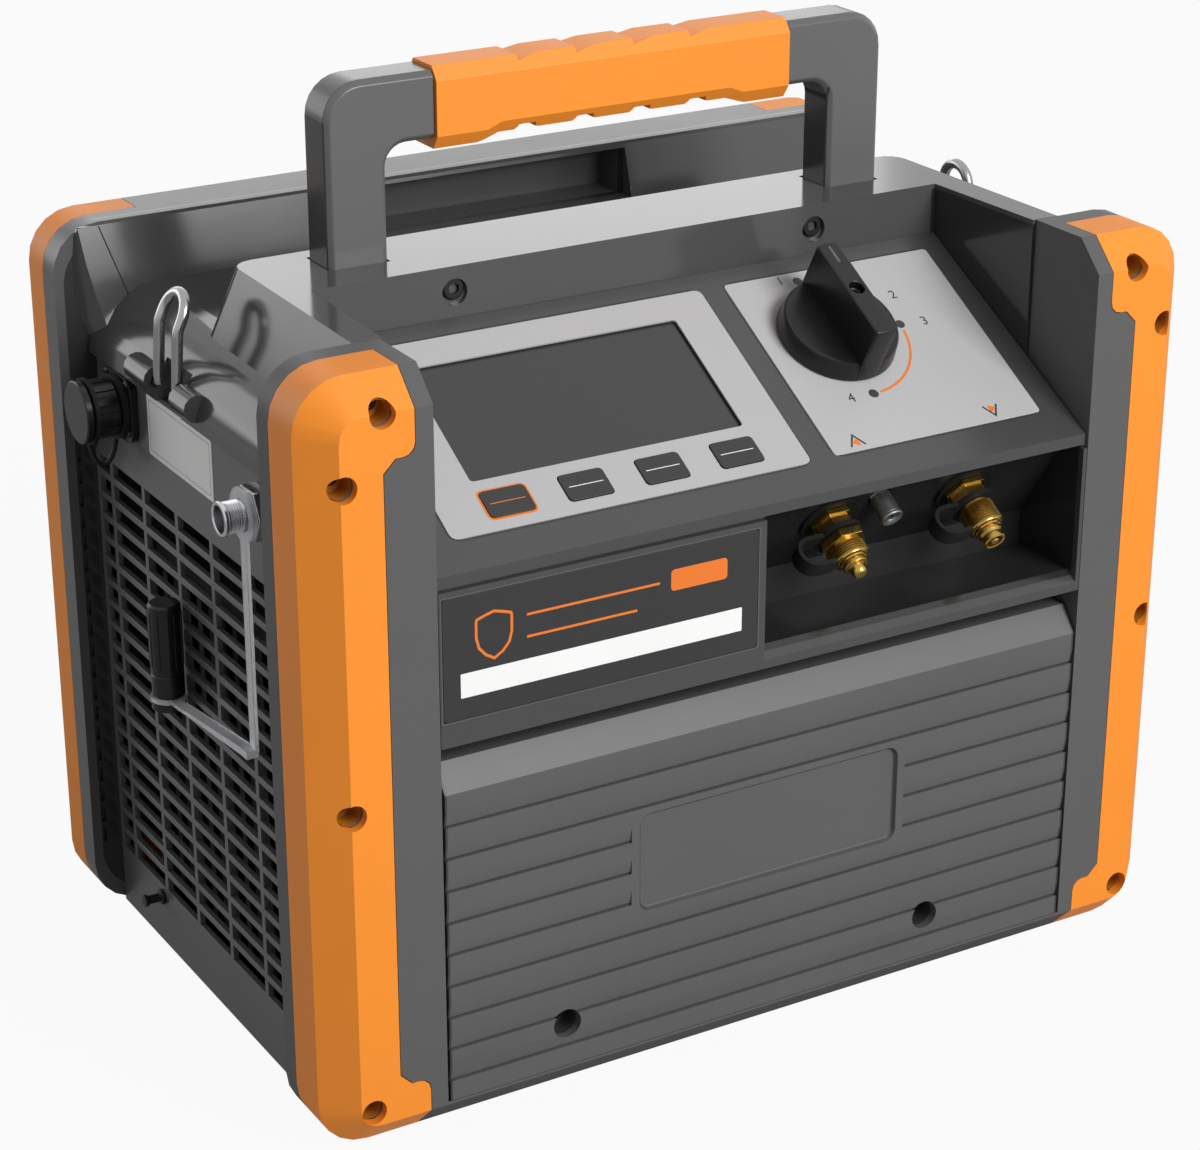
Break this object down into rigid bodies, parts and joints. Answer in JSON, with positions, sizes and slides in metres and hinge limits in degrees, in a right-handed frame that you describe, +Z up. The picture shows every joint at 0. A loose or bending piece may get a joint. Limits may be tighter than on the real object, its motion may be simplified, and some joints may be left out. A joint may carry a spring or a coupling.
{
  "type": "refrigerant recovery machine",
  "caption": "Portable refrigerant recovery machine: moulded case with corner guards, sloped control panel, hose fittings in a recess, louvred sides and a carrying handle.",
  "frame": {"origin": "on the floor under the middle of the case, level with the undersides of the feet", "axes": "+X to the right as seen by someone facing the control panel, -Y out of the front panel, +Z up"},
  "size_m": [0.4055, 0.2828, 0.3922],
  "materials": {
    "grey_shell": "satin moulded plastic",
    "dark_shell": "satin moulded plastic",
    "orange_guard": "satin moulded plastic",
    "pale_sheet": "fine-textured sheet",
    "dark_lens": "gloss",
    "black_plastic": "satin",
    "black_rubber": "matt",
    "brass": "machined",
    "steel": "bright plated",
    "clear_plastic": "clear, flexible",
    "aluminium": "cast",
    "circuit_green": "satin"
  },
  "bodies": {
    "housing": {"front_frame": "grey_shell", "rear_cover": "grey_shell", "side_panel_left": "grey_shell", "side_panel_right": "grey_shell", "control_fascia": "grey_shell", "ribbed_panel": "grey_shell", "handle_frame": "grey_shell", "top_cover": "dark_shell", "badge_plate": "dark_shell", "guard_front_left": "orange_guard", "guard_front_right": "orange_guard", "guard_rear_left": "orange_guard", "guard_rear_right": "orange_guard", "handle_grip": "orange_guard", "display_overlay": "pale_sheet", "valve_overlay": "pale_sheet", "display_window": "dark_lens", "power_inlet": "black_plastic", "sensor_cap": "black_plastic", "drain_nozzle": "black_plastic", "fan_bracket": "black_plastic", "inlet_cap_strap": "black_rubber", "outlet_cap_strap": "black_rubber", "power_tether": "black_rubber", "foot_front_left": "black_rubber", "foot_front_right": "black_rubber", "foot_rear_left": "black_rubber", "foot_rear_right": "black_rubber", "inlet_fitting": "brass", "outlet_fitting": "brass", "inlet_nut": "brass", "outlet_nut": "brass", "relief_port": "steel", "sensor_socket": "steel", "sensor_nut": "steel", "drive_motor": "steel", "sensor_strap": "clear_plastic", "base_tray": "aluminium", "compressor": "aluminium", "condenser": "aluminium", "valve_block": "aluminium", "control_board": "circuit_green"},
    "valve": {"valve_knob": "black_plastic", "valve_stem": "steel"},
    "start_stop_key": {"key_start_stop": "black_plastic"},
    "pressure_switch_key": {"key_pressure_switch": "black_plastic"},
    "units_key": {"key_units": "black_plastic"},
    "cancel_key": {"key_cancel": "black_plastic"},
    "left_bail": {"bail_left": "steel"},
    "right_bail": {"bail_right": "steel"},
    "fan": {"cooling_fan": "black_plastic"},
    "inlet_cap": {"power_cap": "black_plastic"}
  },
  "joints": [
    {"name": "valve_turn", "type": "hinge", "parent": "housing", "child": "valve", "pos_m": [0.0688, -0.07451, 0.27379], "axis": [0, 0.4924, -0.8704], "range_deg": [0, 180]},
    {"name": "start_stop_press", "type": "slide", "parent": "housing", "child": "start_stop_key", "axis": [0, 0.4924, -0.8704], "range_m": [0, 0.0006], "stiffness_N_per_m": 800, "springref_m": -0.0003},
    {"name": "pressure_switch_press", "type": "slide", "parent": "housing", "child": "pressure_switch_key", "axis": [0, 0.4924, -0.8704], "range_m": [0, 0.0006], "stiffness_N_per_m": 800, "springref_m": -0.0003},
    {"name": "units_press", "type": "slide", "parent": "housing", "child": "units_key", "axis": [0, 0.4924, -0.8704], "range_m": [0, 0.0006], "stiffness_N_per_m": 800, "springref_m": -0.0003},
    {"name": "cancel_press", "type": "slide", "parent": "housing", "child": "cancel_key", "axis": [0, 0.4924, -0.8704], "range_m": [0, 0.0006], "stiffness_N_per_m": 800, "springref_m": -0.0003},
    {"name": "left_bail_swing", "type": "hinge", "parent": "housing", "child": "left_bail", "pos_m": [-0.186, 0.0165, 0.2695], "axis": [0, -1, 0], "range_deg": [-15, 150]},
    {"name": "right_bail_swing", "type": "hinge", "parent": "housing", "child": "right_bail", "pos_m": [0.186, 0.0165, 0.2695], "axis": [0, 1, 0], "range_deg": [-40, 125]},
    {"name": "fan_spin", "type": "hinge", "parent": "housing", "child": "fan", "pos_m": [0.1543, -0.0005, 0.0935], "axis": [1, 0, 0], "continuous": true},
    {"name": "inlet_cap_turn", "type": "hinge", "parent": "housing", "child": "inlet_cap", "pos_m": [-0.1838, 0.07, 0.2464], "axis": [-1, 0, 0], "range_deg": [0, 120]}
  ]
}
